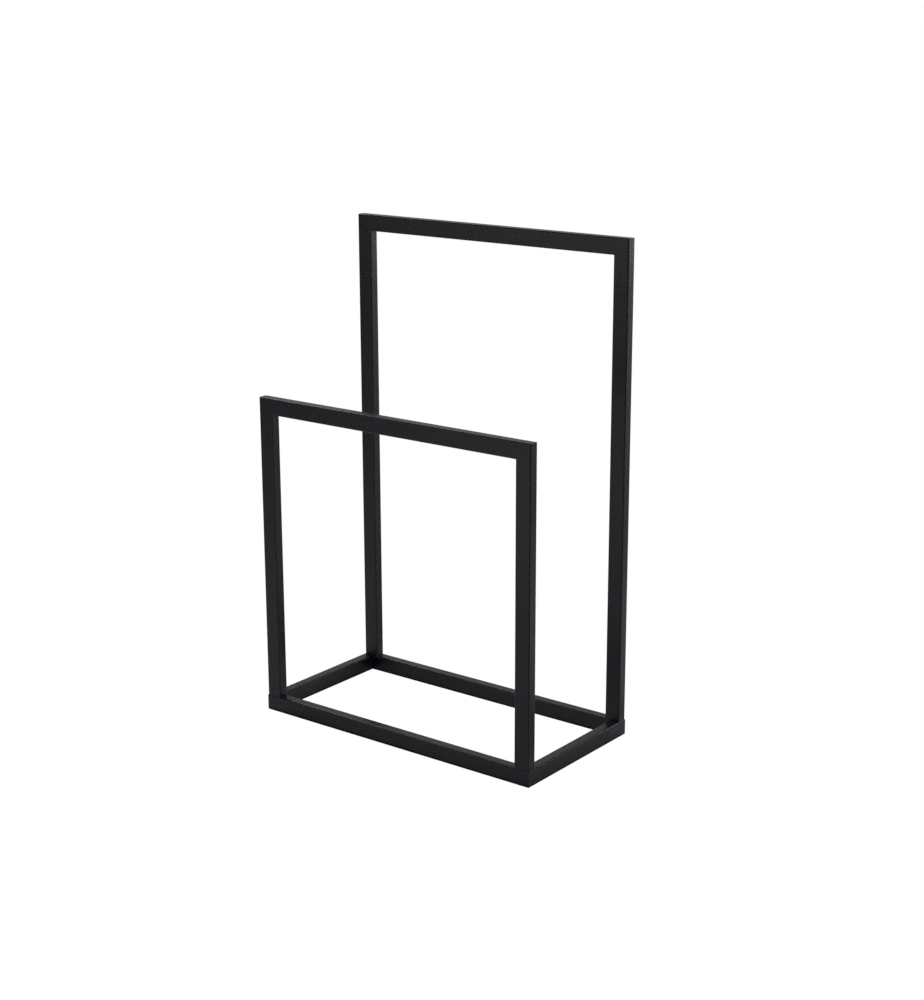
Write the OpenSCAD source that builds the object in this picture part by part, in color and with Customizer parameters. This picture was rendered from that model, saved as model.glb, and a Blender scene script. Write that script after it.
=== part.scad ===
// Firewood log rack: a rectangular base frame with a low inverted-U frame on its front long side and
// a tall inverted-U frame on its rear long side. All three frames are mitred and welded from one
// rectangular steel tube, and each post is bolted down through the base from below.
// X runs along the long sides, -Y is the front, +Z is up. The origin is on the floor, under the
// middle of the base.

/* [Overall size] */
// Length of the base along X
rack_w = 400; // [260:10:600]
// Depth of the base along Y
rack_d = 200; // [120:10:320]
// Height of the low front frame above the floor
front_h = 400; // [100:10:600]
// Height of the tall rear frame above the floor
rear_h = 600; // [100:10:900]
// How far each upright frame stops short of the ends of the base
frame_inset = 0.7; // [0:0.1:2]

/* [Tube] */
// Wide side of the tube: it faces outwards on the base and on the upright frames
tube_wide = 20; // [20:1:30]
// Narrow side of the tube
tube_narrow = 13; // [12:1:16]
// Wall thickness of the tube
wall = 1.2; // [1:0.1:1.4]
// Outer radius of the tube's four long edges
edge_r = 1.5; // [1.5:0.1:2]

/* [Fasteners] */
// Thread diameter of the bolts
bolt_d = 5; // [4:0.5:5]
// Length of each bolt under its head
bolt_length = 16; // [14:1:20]
// Height of the threaded plug in the foot of each post
plug_h = 15; // [12:1:25]

/* [Feet] */
// Thickness of the foot's flange, which carries the rack
foot_t = 0.6; // [0.5:0.1:2]
// Diameter of the foot's flange
foot_d = 9.8; // [9.6:0.1:12]

/* [Hidden] */
$fn = 64;
EPS = 0.5;                                  // how far a cut runs past the face that it opens

// Socket head cap screw, in proportion to its thread
head_d = bolt_d * 1.7;
head_h = bolt_d;
hex_across_flats = bolt_d * 0.8;
hex_depth = bolt_d * 0.5;
bolt_chamfer = bolt_d * 0.1;

// Split spring washer made for a cap screw, no wider than the head
washer_d = bolt_d * 1.65;
washer_bore = bolt_d * 1.03;
washer_t = bolt_d * 0.32;
washer_slit = 0.6;
washer_slit_tilt = 20;

// Holes
thread_gap = 0.05;                          // radial play between a bolt and its tapped hole
clearance_d = bolt_d + 0.5;                 // in the upper wall of the base tube
access_d = head_d + 0.3;                    // in its lower wall, wide enough for the head
mitre_clear = 0.8;                          // steel left between the access hole and the mitre seam
bolt_from_end = tube_narrow / 2 + access_d / sqrt(2) + mitre_clear;

// Push-in foot
stem_gap = 0.15;                            // radial play between the stem and the access hole
stem_d = access_d - 2 * stem_gap;
stem_wall = 1.2;
snap_rib_d = access_d + 0.3;                // the rib that holds the foot behind the wall
snap_rib_h = 0.8;
stem_lead = 0.8;                            // plain end of the stem above the rib
foot_chamfer = foot_t / 2;

base_top = foot_t + tube_wide;
frame_w = rack_w - 2 * frame_inset;
big = 4 * max(tube_wide, tube_narrow);

// Height of the seat of each washer: the inner face of the base tube's upper wall
seat_z = base_top - wall;
head_z = seat_z - washer_t;

// name of the corner, side of the rack along X, side along Y
CORNERS = [
    ["front_left", -1, -1],
    ["front_right", 1, -1],
    ["rear_left", -1, 1],
    ["rear_right", 1, 1],
];

function corner_name(corner) = corner[0];
function bolt_x(corner) = corner[1] * (rack_w / 2 - bolt_from_end);
function post_x(corner) = corner[1] * (frame_w / 2 - tube_wide / 2);
function row_y(corner) = corner[2] * (rack_d / 2 - tube_narrow / 2);

BLACK_PAINT = [0.11, 0.11, 0.12];
BLACK_PLASTIC = [0.06, 0.06, 0.06];
ZINC = [0.66, 0.67, 0.68];

// ---- Tube ----------------------------------------------------------------------------------------

// A rectangle with true round corners, centred
module rounded_rect(x, y, r) {
    square([x - 2 * r, y], center = true);
    square([x, y - 2 * r], center = true);
    for (sx = [-1, 1], sy = [-1, 1])
        translate([sx * (x / 2 - r), sy * (y / 2 - r)])
            circle(r);
}

// Cross-section of the tube, x by y outside, centred
module tube_section(x, y) {
    difference() {
        rounded_rect(x, y, edge_r);
        rounded_rect(x - 2 * wall, y - 2 * wall, edge_r - wall);
    }
}

// Everything on the far side of a 45 degree mitre plane through the origin, towards -X and +Y
module beyond_mitre() {
    rotate([0, 0, 45])
        translate([-big, 0, -big])
            cube([2 * big, big, 2 * big]);
}

// A tube along +X from the origin. Its outer side lies on y = 0 and it is in_plane wide along Y and
// through thick along Z. The near end is mitred towards +Y, and so is the far end if both_ends.
module mitred_tube(length, in_plane, through, both_ends = true) {
    difference() {
        rotate([90, 0, 90])
            linear_extrude(length)
                translate([in_plane / 2, through / 2])
                    tube_section(in_plane, through);
        beyond_mitre();
        if (both_ends)
            translate([length, 0, 0])
                mirror([1, 0, 0])
                    beyond_mitre();
    }
}

// ---- Base frame ----------------------------------------------------------------------------------

// The bar under the front frame; side is -1 for the front and 1 for the rear
module long_base_tube(side) {
    color(BLACK_PAINT)
        difference() {
            rotate([0, 0, side > 0 ? 180 : 0])
                translate([-rack_w / 2, -rack_d / 2, foot_t])
                    mitred_tube(rack_w, tube_narrow, tube_wide);
            for (corner = CORNERS)
                if (corner[2] == side)
                    translate([bolt_x(corner), row_y(corner), 0]) {
                        translate([0, 0, seat_z - EPS])
                            cylinder(d = clearance_d, h = wall + 2 * EPS);
                        translate([0, 0, foot_t - EPS])
                            cylinder(d = access_d, h = wall + 2 * EPS);
                    }
        }
}

// The bar that closes the base at one end; side is -1 for the left and 1 for the right
module short_base_tube(side) {
    color(BLACK_PAINT)
        rotate([0, 0, side * 90])
            translate([-rack_d / 2, -rack_w / 2, foot_t])
                mitred_tube(rack_d, tube_narrow, tube_wide);
}

// ---- Upright frames ------------------------------------------------------------------------------

function frame_h(side) = side < 0 ? front_h : rear_h;

// Y of the front face of the frame on one side
function frame_y(side) = side < 0 ? -rack_d / 2 : rack_d / 2 - tube_narrow;

// Top bar of an upright frame
module top_rail(side) {
    color(BLACK_PAINT)
        translate([-frame_w / 2, frame_y(side), frame_h(side)])
            rotate([-90, 0, 0])
                mitred_tube(frame_w, tube_wide, tube_narrow);
}

// Upright: mitred at the top to meet the rail, cut square at the foot
module post(corner) {
    side = corner[2];
    color(BLACK_PAINT)
        mirror([corner[1] > 0 ? 1 : 0, 0, 0])
            translate([-frame_w / 2, frame_y(side) + tube_narrow, frame_h(side)])
                rotate([90, 90, 0])
                    mitred_tube(frame_h(side) - base_top, tube_wide, tube_narrow, both_ends = false);
}

// ---- Bolted foot of each post --------------------------------------------------------------------

// Steel block welded into the foot of a post, tapped for the bolt
module threaded_plug(corner) {
    color(ZINC)
        difference() {
            translate([post_x(corner), row_y(corner), base_top])
                linear_extrude(plug_h)
                    rounded_rect(tube_wide - 2 * wall, tube_narrow - 2 * wall, edge_r - wall);
            translate([bolt_x(corner), row_y(corner), base_top - EPS])
                cylinder(r = bolt_d / 2 + thread_gap, h = plug_h + 2 * EPS);
        }
}

// Socket head cap screw, head down
module bolt(corner) {
    shank_r = bolt_d / 2;
    head_r = head_d / 2;
    tip_z = head_z + bolt_length;
    color(ZINC)
        translate([bolt_x(corner), row_y(corner), 0])
            difference() {
                rotate_extrude()
                    polygon([
                        [0, head_z - head_h],
                        [head_r - bolt_chamfer, head_z - head_h],
                        [head_r, head_z - head_h + bolt_chamfer],
                        [head_r, head_z],
                        [shank_r, head_z],
                        [shank_r, tip_z - bolt_chamfer],
                        [shank_r - bolt_chamfer, tip_z],
                        [0, tip_z],
                    ]);
                translate([0, 0, head_z - head_h - EPS])
                    cylinder(d = hex_across_flats / cos(30), h = hex_depth + EPS, $fn = 6);
            }
}

// Split ring between the bolt's head and the base tube
module spring_washer(corner) {
    color(ZINC)
        translate([bolt_x(corner), row_y(corner), head_z])
            difference() {
                cylinder(d = washer_d, h = washer_t);
                translate([0, 0, -EPS])
                    cylinder(d = washer_bore, h = washer_t + 2 * EPS);
                translate([washer_d / 2, 0, washer_t / 2])
                    rotate([washer_slit_tilt, 0, 0])
                        cube([washer_d / 2 + EPS, washer_slit, 3 * washer_t], center = true);
            }
}

// Hollow plastic plug pushed into the access hole; its flange stands on the floor
module foot(corner) {
    flange_r = foot_d / 2;
    stem_r = stem_d / 2;
    rib_z = foot_t + wall;
    stem_top = rib_z + snap_rib_h + stem_lead;
    color(BLACK_PLASTIC)
        translate([bolt_x(corner), row_y(corner), 0])
            rotate_extrude()
                polygon([
                    [0, 0],
                    [flange_r - foot_chamfer, 0],
                    [flange_r, foot_chamfer],
                    [flange_r, foot_t],
                    [stem_r, foot_t],
                    [stem_r, rib_z],
                    [snap_rib_d / 2, rib_z],
                    [stem_r, rib_z + snap_rib_h],
                    [stem_r, stem_top],
                    [stem_r - stem_wall, stem_top],
                    [stem_r - stem_wall, foot_t],
                    [0, foot_t],
                ]);
}

// ---- Assembly ------------------------------------------------------------------------------------

long_base_tube(-1);  // front_base_tube
long_base_tube(1);  // rear_base_tube
short_base_tube(-1);  // left_base_tube
short_base_tube(1);  // right_base_tube
top_rail(-1);  // front_top_rail
top_rail(1);  // rear_top_rail
for (corner = CORNERS) {
    post(corner);
    threaded_plug(corner);
    bolt(corner);
    spring_washer(corner);
    foot(corner);
}
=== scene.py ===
import math

import bmesh
import bpy
from mathutils import Euler, Matrix, Vector


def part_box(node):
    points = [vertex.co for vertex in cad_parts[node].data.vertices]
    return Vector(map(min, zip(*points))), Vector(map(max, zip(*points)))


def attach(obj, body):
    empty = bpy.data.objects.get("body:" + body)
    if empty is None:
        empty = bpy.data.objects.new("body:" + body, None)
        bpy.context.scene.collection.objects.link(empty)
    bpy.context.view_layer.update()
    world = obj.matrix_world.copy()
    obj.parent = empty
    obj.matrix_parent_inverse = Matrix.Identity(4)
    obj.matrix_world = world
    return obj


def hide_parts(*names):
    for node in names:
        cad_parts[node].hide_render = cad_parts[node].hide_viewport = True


# Firewood log rack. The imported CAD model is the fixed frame; this script gives it its looks.
# Lengths are metres, in the row frame: X along the long sides, -Y the front, Z up from the floor.
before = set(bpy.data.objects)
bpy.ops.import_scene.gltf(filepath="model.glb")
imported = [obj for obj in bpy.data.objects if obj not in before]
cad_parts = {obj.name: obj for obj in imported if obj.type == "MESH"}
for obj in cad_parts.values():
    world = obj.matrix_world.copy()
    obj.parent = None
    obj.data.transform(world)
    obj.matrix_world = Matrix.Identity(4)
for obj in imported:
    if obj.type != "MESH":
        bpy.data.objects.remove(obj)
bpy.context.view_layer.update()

MM = 0.001
BODY = "root"
X = Vector((1, 0, 0))
Y = Vector((0, 1, 0))
Z = Vector((0, 0, 1))

# ---- Camera --------------------------------------------------------------------------------------
# Its place, angles and lens give the rack's straight edges the photograph's perspective
CAMERA_PLACE = Vector((1.3358, -1.6996, 0.8783))
CAMERA_AZIMUTH = 37.545
CAMERA_ELEVATION = 15.399
CAMERA_ROLL = -0.164
CAMERA_LENS = 67.80
CAMERA_REACH = (0.05, 50)  # nearest and farthest distance that it shows


def add_camera():
    data = bpy.data.cameras.new("camera")
    data.lens = CAMERA_LENS
    data.clip_start, data.clip_end = CAMERA_REACH
    camera = bpy.data.objects.new("camera", data)
    camera.location = CAMERA_PLACE
    level = Euler((math.radians(90 - CAMERA_ELEVATION), 0, math.radians(CAMERA_AZIMUTH)))
    roll = Matrix.Rotation(math.radians(CAMERA_ROLL), 3, "Z")
    camera.rotation_euler = (level.to_matrix() @ roll).to_euler()
    bpy.context.scene.collection.objects.link(camera)
    bpy.context.scene.camera = camera


add_camera()

# ---- Tube section and its finish -----------------------------------------------------------------
WALL = 1.2 * MM
OUTER_R = 1.5 * MM
INNER_R = OUTER_R - WALL
ARC_STEPS = 6             # flats in each quarter-round long edge
BEVEL_STEPS = 3           # flats in the rounding of a tube's end
GUARD = 0.3 * MM          # strip beside a rounding that keeps the next face's shading flat
SEAM_BEVEL = 0.12 * MM    # rounding that the paint leaves along a ground mitre weld
CUT_BEVEL = 0.25 * MM     # deburred edge of a square cut
TOUCH = 0.0025 * MM       # a vertex this close to the border of a bevel lies on it
WELD_ZONE = 9 * MM        # how far the ground-flush weld shows from the mitre
SHARP_ANGLE = 50          # degrees between two faces that meet in a crisp edge
CUT_EDGE = 0.7            # edge attribute of a square cut; the middle of a long edge has 1

# Holes under each post, through the base tube's lower and upper walls
BOLT_D = 5 * MM
SHANK_PLAY = 0.5 * MM     # clearance hole's diameter less the bolt's, in the upper wall
HEAD_PLAY = 0.3 * MM      # access hole's diameter less the bolt head's, in the lower wall
CLEARANCE_D = BOLT_D + SHANK_PLAY
HOLE_SIDES = 64
OVERRUN = 0.5 * MM        # how far a drill runs past the wall that it opens

# node: direction in which the tube runs, direction from its outer side inwards, far end mitred
TUBES = {
    "front_base_tube": (X, Y, True),
    "rear_base_tube": (-X, -Y, True),
    "left_base_tube": (-Y, X, True),
    "right_base_tube": (Y, -X, True),
    "front_top_rail": (X, -Z, True),
    "rear_top_rail": (X, -Z, True),
    "front_left_post": (-Z, X, False),
    "front_right_post": (-Z, -X, False),
    "rear_left_post": (-Z, X, False),
    "rear_right_post": (-Z, -X, False),
}
# Base tubes that the bolts pass through, and the corners whose bolts they take
DRILLED = {
    "front_base_tube": ("front_left", "front_right"),
    "rear_base_tube": ("rear_left", "rear_right"),
}


# ---- Mesh building -------------------------------------------------------------------------------
def rounded_profile(width, height, radius, inset=0.0):
    """Points (y, z) round a rectangle from (0, 0) to (width, height), pulled in by inset. Each round
    corner has a guard point on the flat before it and after it."""
    radius -= inset
    low = inset + radius
    y_high = width - low
    z_high = height - low
    points = []
    for quarter, (centre_y, centre_z) in enumerate(
        [(y_high, z_high), (low, z_high), (low, low), (y_high, low)]
    ):
        centre = Vector((centre_y, centre_z))
        arc = []
        for step in range(ARC_STEPS + 1):
            angle = (quarter + step / ARC_STEPS) * math.pi / 2
            arc.append(Vector((math.cos(angle), math.sin(angle))))
        before = centre + arc[0] * radius - arc[-1] * GUARD
        after = centre + arc[-1] * radius - arc[0] * GUARD
        points += [before] + [centre + direction * radius for direction in arc] + [after]
    return points


def end_rings(width, height, bevel):
    """Rings at one end of a tube as (profile, distance from the end), from the bore outwards."""
    bore = rounded_profile(width - 2 * WALL, height - 2 * WALL, INNER_R)
    skin = rounded_profile(width, height, OUTER_R)
    rings = [([point + Vector((WALL, WALL)) for point in bore], 0.0)]
    for step in range(BEVEL_STEPS + 1):
        turn = step / BEVEL_STEPS * math.pi / 2
        inset = bevel * (1 - math.sin(turn))
        rings.append((rounded_profile(width, height, OUTER_R, inset), bevel * (1 - math.cos(turn))))
    rings.append((skin, bevel + GUARD))
    rings.append((skin, WELD_ZONE))
    return rings


def tube_blank(name, sizes, far_mitre):
    """Mesh of a tube along +X from the origin, with its outer side on y = 0: skin, bore and both
    ends in one closed surface. The near end is mitred, and so is the far end if far_mitre."""
    length, width, height = sizes
    bm = bmesh.new()
    rows = []
    for profile, distance in end_rings(width, height, SEAM_BEVEL):
        rows.append([bm.verts.new((point.x + distance, point.x, point.y)) for point in profile])
    far_rings = end_rings(width, height, SEAM_BEVEL if far_mitre else CUT_BEVEL)
    for profile, distance in reversed(far_rings):
        row = []
        for point in profile:
            slant = point.x if far_mitre else 0.0
            row.append(bm.verts.new((length - slant - distance, point.x, point.y)))
        rows.append(row)
    for row, following in zip(rows, rows[1:] + rows[:1]):
        for i in range(len(row)):
            j = (i + 1) % len(row)
            bm.faces.new((row[i], row[j], following[j], following[i]))
    bmesh.ops.recalc_face_normals(bm, faces=bm.faces)
    mesh = bpy.data.meshes.new(name)
    bm.to_mesh(mesh)
    bm.free()
    return mesh


def drilled(mesh, holes):
    """The mesh with round holes along Z; a hole is (centre x, centre y, low z, high z, diameter)."""
    bm = bmesh.new()
    for x, y, low, high, diameter in holes:
        bmesh.ops.create_cone(
            bm,
            cap_ends=True,
            segments=HOLE_SIDES,
            radius1=diameter / 2,
            radius2=diameter / 2,
            depth=high - low,
            matrix=Matrix.Translation((x, y, (low + high) / 2)),
        )
    drill_mesh = bpy.data.meshes.new("drills")
    bm.to_mesh(drill_mesh)
    bm.free()
    drills = bpy.data.objects.new("drills", drill_mesh)
    blank = bpy.data.objects.new("blank", mesh)
    for helper in (drills, blank):
        bpy.context.scene.collection.objects.link(helper)
    cut = blank.modifiers.new("holes", "BOOLEAN")
    cut.operation = "DIFFERENCE"
    cut.solver = "EXACT"
    cut.object = drills
    depsgraph = bpy.context.evaluated_depsgraph_get()
    result = bpy.data.meshes.new_from_object(blank.evaluated_get(depsgraph))
    for helper in (drills, blank):
        bpy.data.objects.remove(helper)
    return result


def bolt_holes(corners, matrix, sizes):
    """Holes of a base tube, in the tube's own frame, below and above the bolts of its corners."""
    height = sizes[2]
    holes = []
    for corner in corners:
        low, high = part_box(corner + "_bolt")
        centre = matrix.inverted() @ ((Vector(low) + Vector(high)) / 2)
        access_d = high[0] - low[0] + HEAD_PLAY
        holes.append((centre.x, centre.y, -OVERRUN, WALL + OVERRUN, access_d))
        holes.append((centre.x, centre.y, height - WALL - OVERRUN, height + OVERRUN, CLEARANCE_D))
    return holes


def mark_finish(mesh, sizes, far_mitre):
    """Vertex attributes that the paint reads: edge is 1 along the middle of a rounded long edge and
    CUT_EDGE along a square cut, and weld is 1 at a mitre and 0 from the end of the weld zone on."""
    length, width, height = sizes
    edges = []
    welds = []
    for vertex in mesh.vertices:
        x, y, z = vertex.co
        side = OUTER_R - min(y, width - y)
        face = OUTER_R - min(z, height - z)
        on_corner = side > 0 and face > 0 and math.hypot(side, face) > (OUTER_R + INNER_R) / 2
        edge = math.sin(2 * math.atan2(face, side)) if on_corner else 0.0
        if not far_mitre and x > length - CUT_BEVEL - TOUCH:
            edge = max(edge, CUT_EDGE)
        from_mitre = min(x - y, length - y - x) if far_mitre else x - y
        edges.append(edge)
        welds.append(min(max(1 - from_mitre / WELD_ZONE, 0.0), 1.0))
    for name, values in (("edge", edges), ("weld", welds)):
        mesh.attributes.new(name, "FLOAT", "POINT").data.foreach_set("value", values)


def axes_of(run, inwards, corner_box):
    """Matrix that takes a tube's own X, Y and Z to the frame, and its three sizes."""
    through = run.cross(inwards)
    directions = (run, inwards, through)
    low, high = (Vector(corner) for corner in corner_box)
    forwards = run + inwards + through
    corner = Vector([low[i] if forwards[i] > 0 else high[i] for i in range(3)])
    matrix = Matrix(directions).transposed().to_4x4()
    matrix.translation = corner
    sizes = [abs((high - low).dot(direction)) for direction in directions]
    return matrix, sizes


def tube_mesh(node):
    run, inwards, far_mitre = TUBES[node]
    matrix, sizes = axes_of(run, inwards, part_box(node))
    mesh = tube_blank(node, sizes, far_mitre)
    if node in DRILLED:
        mesh = drilled(mesh, bolt_holes(DRILLED[node], matrix, sizes))
    mark_finish(mesh, sizes, far_mitre)
    mesh.transform(matrix)
    for polygon in mesh.polygons:
        polygon.use_smooth = True
    mesh.set_sharp_from_angle(angle=math.radians(SHARP_ANGLE))
    return mesh


def new_object(name, mesh, material):
    piece = bpy.data.objects.new(name, mesh)
    bpy.context.scene.collection.objects.link(piece)
    piece.data.materials.clear()
    piece.data.materials.append(material)
    return piece


# ---- Materials -----------------------------------------------------------------------------------
# Powder coat: colours where its tone is darkest and lightest, and on a rubbed edge
COAT_DARK = (0.0109, 0.0098, 0.0189)
COAT_LIGHT = (0.0213, 0.0195, 0.0351)
COAT_RUBBED = (0.022, 0.020, 0.033)
CLOUD_SHARE = 0.4         # part of the tone that changes slowly; flecks give the rest
COAT_ROUGH = (0.25, 0.32)  # roughness where the tone is darkest and lightest
RUB_POLISH = 0.08         # how much less rough a fully rubbed edge is
PEEL_DEPTH = 0.12 * MM    # orange peel
GRAIN_DEPTH = 0.05 * MM   # fine grain of the powder
GROUND_DEPTH = 0.06 * MM  # uneven ground beside a mitre weld

# Steel
STEEL_SHADE = 0.82        # brightness of its duller patches against the rest
STEEL_DULLING = 0.15      # how much rougher they are
SCRATCH_DEPTH = 0.006 * MM

# Plastic: colours and roughness where its patches are darkest and lightest
PLASTIC_DARK = (0.011, 0.011, 0.012)
PLASTIC_LIGHT = (0.019, 0.019, 0.020)
PLASTIC_ROUGH = (0.50, 0.62)
SPARK_DEPTH = 0.015 * MM  # grain of the spark-eroded mould


class Nodes:
    """A material's node tree, with short ways to add and join nodes."""

    def __init__(self, name):
        self.material = bpy.data.materials.new(name)
        self.material.use_nodes = True
        self.tree = self.material.node_tree
        self.shader = self.tree.nodes["Principled BSDF"]
        self.place = self.add("ShaderNodeTexCoord").outputs["Object"]

    def add(self, kind, **settings):
        node = self.tree.nodes.new(kind)
        for key, value in settings.items():
            setattr(node, key, value)
        return node

    def link(self, output, socket):
        self.tree.links.new(output, socket)

    def noise(self, per_metre, detail=2.0, roughness=0.5):
        node = self.add("ShaderNodeTexNoise")
        node.inputs["Scale"].default_value = per_metre
        node.inputs["Detail"].default_value = detail
        node.inputs["Roughness"].default_value = roughness
        self.link(self.place, node.inputs["Vector"])
        return node.outputs["Fac"]

    def attribute(self, name):
        return self.add("ShaderNodeAttribute", attribute_name=name).outputs["Fac"]

    def ranged(self, value, low, high, to_low=0.0, to_high=1.0):
        node = self.add("ShaderNodeMapRange")
        settings = {"From Min": low, "From Max": high, "To Min": to_low, "To Max": to_high}
        for socket, number in settings.items():
            node.inputs[socket].default_value = number
        self.link(value, node.inputs["Value"])
        return node.outputs["Result"]

    def math(self, operation, first, second):
        node = self.add("ShaderNodeMath", operation=operation)
        for socket, value in zip(node.inputs, (first, second)):
            if isinstance(value, (int, float)):
                socket.default_value = value
            else:
                self.link(value, socket)
        return node.outputs["Value"]

    def mix(self, factor, first, second):
        node = self.add("ShaderNodeMix", data_type="RGBA")
        self.link(factor, node.inputs["Factor"])
        for socket, value in ((node.inputs[6], first), (node.inputs[7], second)):
            if isinstance(value, tuple):
                socket.default_value = (*value, 1.0)
            else:
                self.link(value, socket)
        return node.outputs[2]

    def bump(self, height, distance, normal=None):
        node = self.add("ShaderNodeBump")
        node.inputs["Distance"].default_value = distance
        self.link(height, node.inputs["Height"])
        if normal is not None:
            self.link(normal, node.inputs["Normal"])
        return node.outputs["Normal"]

    def set(self, **values):
        for name, value in values.items():
            self.shader.inputs[name.replace("_", " ")].default_value = value


def powder_coat():
    """Satin black powder coat: slow changes and flecks of tone and gloss, fine grain, a faint orange
    peel, long edges rubbed a little lighter and smoother, and uneven ground beside the welds."""
    nodes = Nodes("black_powder_coat")
    cloud = nodes.ranged(nodes.noise(per_metre=14, detail=3), 0.3, 0.7)
    fleck = nodes.ranged(nodes.noise(per_metre=270, detail=3, roughness=0.6), 0.33, 0.67)
    rub = nodes.ranged(nodes.noise(per_metre=90, detail=4, roughness=0.65), 0.42, 0.68)
    grain = nodes.noise(per_metre=1500, detail=2)
    peel = nodes.noise(per_metre=260, detail=1)
    uneven = nodes.noise(per_metre=420, detail=2)
    wear = nodes.math("MULTIPLY", nodes.ranged(nodes.attribute("edge"), 0.35, 1.0), rub)

    slow = nodes.math("MULTIPLY", cloud, CLOUD_SHARE)
    quick = nodes.math("MULTIPLY", fleck, 1 - CLOUD_SHARE)
    tone = nodes.math("ADD", slow, quick)
    plain = nodes.mix(tone, COAT_DARK, COAT_LIGHT)
    nodes.link(nodes.mix(wear, plain, COAT_RUBBED), nodes.shader.inputs["Base Color"])

    roughness = nodes.ranged(tone, 0.0, 1.0, *COAT_ROUGH)
    polish = nodes.math("MULTIPLY", wear, RUB_POLISH)
    nodes.link(nodes.math("SUBTRACT", roughness, polish), nodes.shader.inputs["Roughness"])

    ground = nodes.math("MULTIPLY", nodes.attribute("weld"), uneven)
    normal = nodes.bump(peel, PEEL_DEPTH)
    normal = nodes.bump(grain, GRAIN_DEPTH, normal)
    normal = nodes.bump(ground, GROUND_DEPTH, normal)
    nodes.link(normal, nodes.shader.inputs["Normal"])
    nodes.set(Specular_IOR_Level=0.5)
    return nodes.material


def steel(name, colour, roughness):
    """Small turned or plated steel parts, with duller patches and fine scratches."""
    nodes = Nodes(name)
    patch = nodes.ranged(nodes.noise(per_metre=350, detail=3), 0.3, 0.7)
    scratch = nodes.noise(per_metre=3000, detail=1)
    shaded = tuple(STEEL_SHADE * channel for channel in colour)
    nodes.link(nodes.mix(patch, colour, shaded), nodes.shader.inputs["Base Color"])
    matt = nodes.ranged(patch, 0.0, 1.0, roughness, roughness + STEEL_DULLING)
    nodes.link(matt, nodes.shader.inputs["Roughness"])
    nodes.link(nodes.bump(scratch, SCRATCH_DEPTH), nodes.shader.inputs["Normal"])
    nodes.set(Metallic=1.0)
    return nodes.material


def moulded_plastic():
    """Black polyethylene of the push-in feet: soft sheen, spark-eroded grain."""
    nodes = Nodes("foot_plastic")
    patch = nodes.ranged(nodes.noise(per_metre=500, detail=2), 0.3, 0.7)
    grain = nodes.noise(per_metre=4200, detail=2)
    tint = nodes.mix(patch, PLASTIC_DARK, PLASTIC_LIGHT)
    nodes.link(tint, nodes.shader.inputs["Base Color"])
    nodes.link(nodes.ranged(patch, 0.0, 1.0, *PLASTIC_ROUGH), nodes.shader.inputs["Roughness"])
    nodes.link(nodes.bump(grain, SPARK_DEPTH), nodes.shader.inputs["Normal"])
    nodes.set(Specular_IOR_Level=0.4)
    return nodes.material


# ---- The rack ------------------------------------------------------------------------------------
COAT = powder_coat()
ZINC = steel("zinc_steel", (0.56, 0.58, 0.60), 0.30)
BRIGHT = steel("bright_steel", (0.50, 0.50, 0.49), 0.35)
PLASTIC = moulded_plastic()

for node in TUBES:
    piece = new_object(node + "_coated", tube_mesh(node), COAT)
    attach(piece, BODY)
    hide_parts(node)

FINISHES = {"_threaded_plug": BRIGHT, "_bolt": ZINC, "_spring_washer": ZINC, "_foot": PLASTIC}
for node, cad_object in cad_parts.items():
    for ending, material in FINISHES.items():
        if node.endswith(ending):
            cad_object.data.materials.clear()
            cad_object.data.materials.append(material)

# ---- Stage ---------------------------------------------------------------------------------------
FLOOR_SIZE = 12.0
FLOOR_PALE = 0.80      # how much of the light the floor gives back to the rack
BACKDROP_SEEN = 1.0    # white of the floor and the background as the camera sees them
BACKDROP_LIGHT = 0.02  # what the rack receives from the background


def pale_floor():
    """Plain white floor, exposed like the background behind it. It gives the rack an even bounce,
    and it is clear from below so that the underside can be looked at."""
    nodes = Nodes("pale_floor")
    nodes.set(Base_Color=(FLOOR_PALE, FLOOR_PALE, FLOOR_PALE, 1))
    nodes.set(Roughness=0.9, Specular_IOR_Level=0.0)
    white = nodes.add("ShaderNodeEmission")
    white.inputs["Strength"].default_value = BACKDROP_SEEN
    clear = nodes.add("ShaderNodeBsdfTransparent")
    seen = nodes.add("ShaderNodeMixShader")
    nodes.link(nodes.add("ShaderNodeLightPath").outputs["Is Camera Ray"], seen.inputs[0])
    nodes.link(nodes.shader.outputs[0], seen.inputs[1])
    nodes.link(white.outputs[0], seen.inputs[2])
    sided = nodes.add("ShaderNodeMixShader")
    nodes.link(nodes.add("ShaderNodeNewGeometry").outputs["Backfacing"], sided.inputs[0])
    nodes.link(seen.outputs[0], sided.inputs[1])
    nodes.link(clear.outputs[0], sided.inputs[2])
    nodes.link(sided.outputs[0], nodes.tree.nodes["Material Output"].inputs["Surface"])
    return nodes.material


def add_floor():
    half = FLOOR_SIZE / 2
    mesh = bpy.data.meshes.new("floor")
    corners = [(-half, -half, 0), (half, -half, 0), (half, half, 0), (-half, half, 0)]
    mesh.from_pydata(corners, [], [(0, 1, 2, 3)])
    new_object("floor", mesh, pale_floor())


# Soft boxes all round the rack, at one distance from LIGHT_AIM
LIGHT_AIM = Vector((0, 0, 0.25))
LIGHT_DISTANCE = 3.0
LIGHT_WIDTH = 1.2
LIGHT_HEIGHT = 1.0
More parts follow.
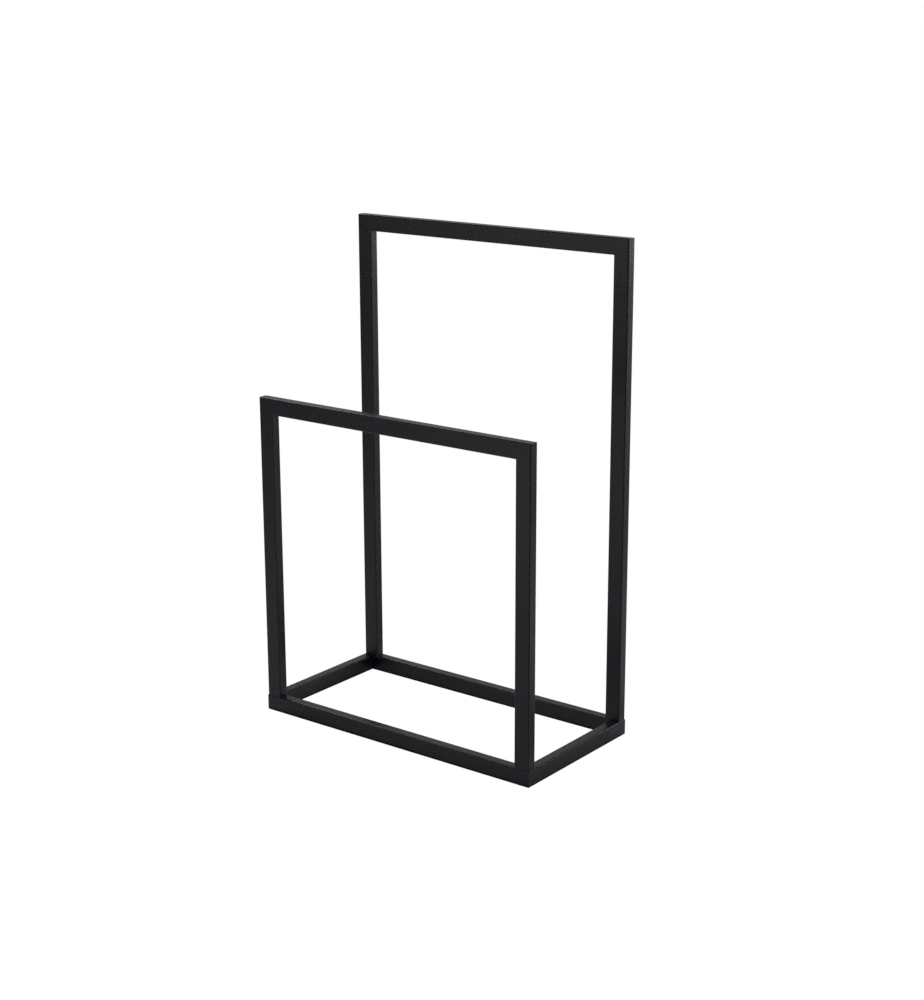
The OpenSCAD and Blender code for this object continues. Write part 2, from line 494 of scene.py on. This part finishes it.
# name: degrees round from the front towards the right, degrees above the floor, watts
SOFT_BOXES = {
    "front": (0, 6, 2.0),
    "right": (90, 6, 2.0),
    "right_rear": (150, 10, 12),
    "rear": (180, 10, 21),
    "left_rear": (217, 10, 1.6),
    "left_rear_high": (217, 35, 2.8),
    "left_high": (250, 35, 21),
    "left": (270, 6, 2.0),
    "front_left": (330, 10, 4.9),
    "overhead": (0, 90, 3.5),
}
# Glowing cards that lie on the floor and face up; name: centre x, centre y, width, depth, watts
CARDS = {
    "card_under_rack": (-0.25, -0.35, 1.0, 1.0, 0.38),
    "card_front": (0.0, -1.35, 1.5, 1.0, 2.10),
    "card_rear_right": (0.5, 0.4, 0.5, 0.5, 0.19),
}
CARD_LIFT = 3 * MM


def add_light(name, place, facing, width, height, watts):
    lamp = bpy.data.lights.new(name, "AREA")
    lamp.shape = "RECTANGLE"
    lamp.size = width
    lamp.size_y = height
    lamp.energy = watts
    holder = bpy.data.objects.new(name, lamp)
    holder.location = place
    holder.rotation_euler = facing.to_track_quat("-Z", "Y").to_euler()
    holder.visible_camera = False
    bpy.context.scene.collection.objects.link(holder)


def add_lights():
    for name, (azimuth, elevation, watts) in SOFT_BOXES.items():
        turn = math.radians(azimuth)
        rise = math.radians(elevation)
        level = math.cos(rise)
        towards = Vector((math.sin(turn) * level, -math.cos(turn) * level, math.sin(rise)))
        place = LIGHT_AIM + LIGHT_DISTANCE * towards
        add_light(name, place, -towards, LIGHT_WIDTH, LIGHT_HEIGHT, watts)
    for name, (x, y, width, depth, watts) in CARDS.items():
        add_light(name, Vector((x, y, CARD_LIFT)), Z, width, depth, watts)


def white_world():
    world = bpy.data.worlds.new("studio")
    world.use_nodes = True
    tree = world.node_tree
    background = tree.nodes["Background"]
    background.inputs["Color"].default_value = (1, 1, 1, 1)
    path = tree.nodes.new("ShaderNodeLightPath")
    level = tree.nodes.new("ShaderNodeMapRange")
    level.inputs["To Min"].default_value = BACKDROP_LIGHT
    level.inputs["To Max"].default_value = BACKDROP_SEEN
    tree.links.new(path.outputs["Is Camera Ray"], level.inputs["Value"])
    tree.links.new(level.outputs["Result"], background.inputs["Strength"])
    return world


add_floor()
add_lights()
bpy.context.scene.world = white_world()
bpy.context.scene.view_settings.view_transform = "Standard"
